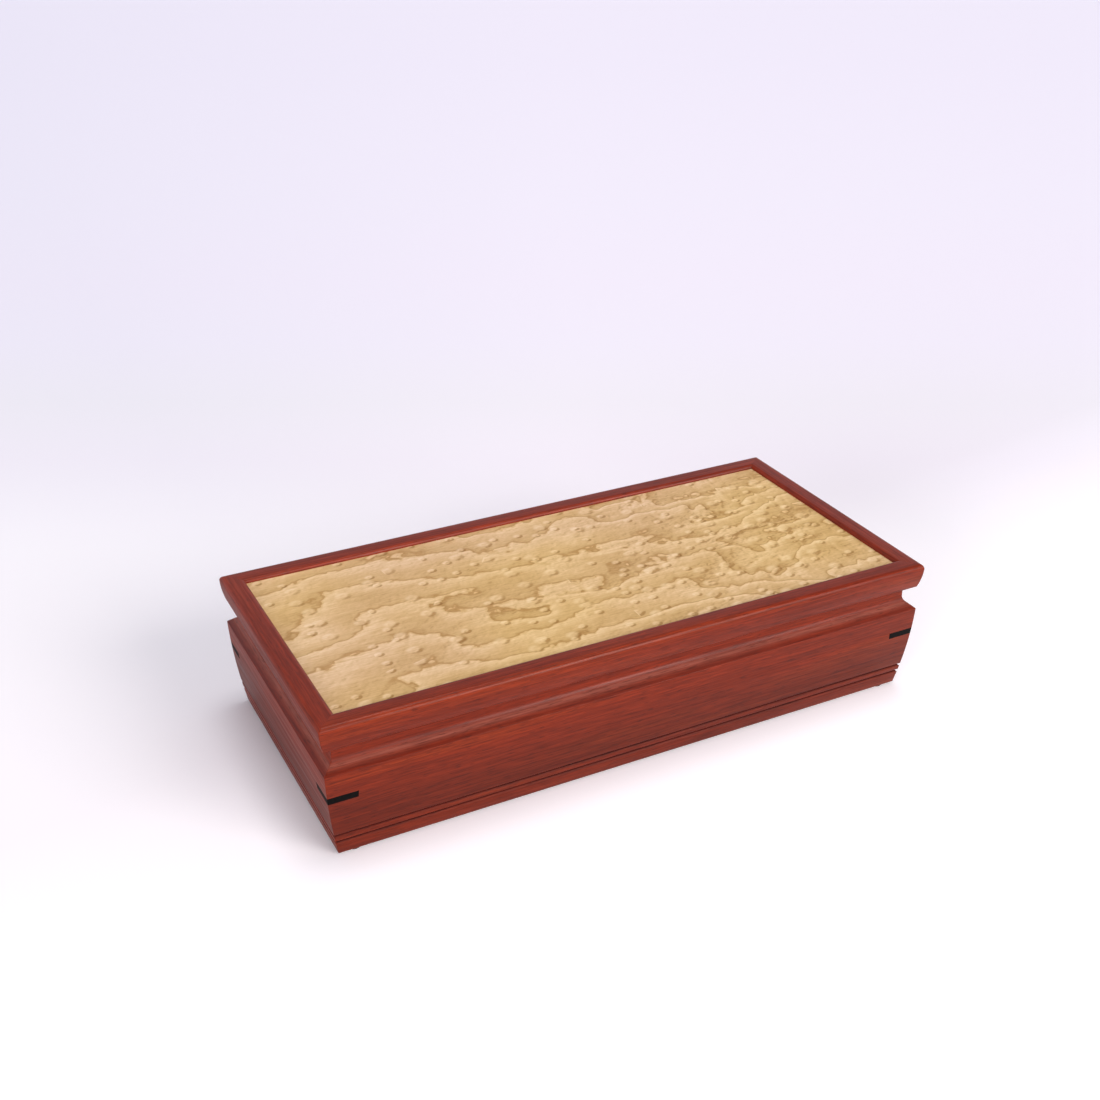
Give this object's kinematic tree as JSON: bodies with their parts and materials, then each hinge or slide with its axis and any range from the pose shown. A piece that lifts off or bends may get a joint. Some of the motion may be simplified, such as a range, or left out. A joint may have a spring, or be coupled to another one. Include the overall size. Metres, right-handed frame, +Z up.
{
  "type": "puzzle box",
  "caption": "Long low wooden box with a hinged lid, recessed figured panel, bowed mitred walls with black corner keys, and a hidden drawer in its foot.",
  "frame": {"origin": "on the surface that the box stands on, under the middle of the box", "axes": "+X along the length towards the end that holds the hidden drawer, +Y towards the hinges at the back, +Z up"},
  "size_m": [0.305, 0.1432, 0.069],
  "materials": {
    "red_wood": "satin varnish, straight fine grain",
    "ebony": "satin",
    "figured_panel": "satin varnish over blister figure",
    "pale_wood": "sanded, thin varnish",
    "suede": "matte nap",
    "felt": "matte",
    "brass": "satin brushed",
    "nickel": "bright plating"
  },
  "bodies": {
    "case": {"front_wall": "red_wood", "back_wall": "red_wood", "left_wall": "red_wood", "right_wall": "red_wood", "key_front_left": "ebony", "key_front_right": "ebony", "key_back_left": "ebony", "key_back_right": "ebony", "feet": "felt", "base_panel": "pale_wood", "case_floor": "pale_wood", "floor_lining": "suede", "drawer_stop": "pale_wood", "case_magnet": "nickel", "lock_channel_cap": "red_wood", "case_hinge_leaves": "brass", "hinge_pins": "brass", "case_hinge_screws": "brass"},
    "lid": {"lid_front_rail": "red_wood", "lid_back_rail": "red_wood", "lid_left_rail": "red_wood", "lid_right_rail": "red_wood", "lid_panel": "figured_panel", "lid_lining": "suede", "lid_hinge_leaves": "brass", "lid_hinge_screws": "brass", "lock_studs": "brass"},
    "lock_bar": {"lock_bar": "brass"},
    "drawer": {"drawer_front": "red_wood", "drawer_front_side": "pale_wood", "drawer_back_side": "pale_wood", "drawer_tail": "pale_wood", "drawer_bottom": "pale_wood", "drawer_lining": "suede", "drawer_magnet": "nickel"}
  },
  "joints": [
    {"name": "lid_hinge", "type": "hinge", "parent": "case", "child": "lid", "pos_m": [0, 0.0675, 0.0563], "axis": [-1, 0, 0], "range_deg": [0, 95]},
    {"name": "lock_bar_slide", "type": "slide", "parent": "case", "child": "lock_bar", "axis": [1, 0, 0], "range_m": [0, 0.007]},
    {"name": "drawer_slide", "type": "slide", "parent": "case", "child": "drawer", "axis": [1, 0, 0], "range_m": [0, 0.2]}
  ]
}
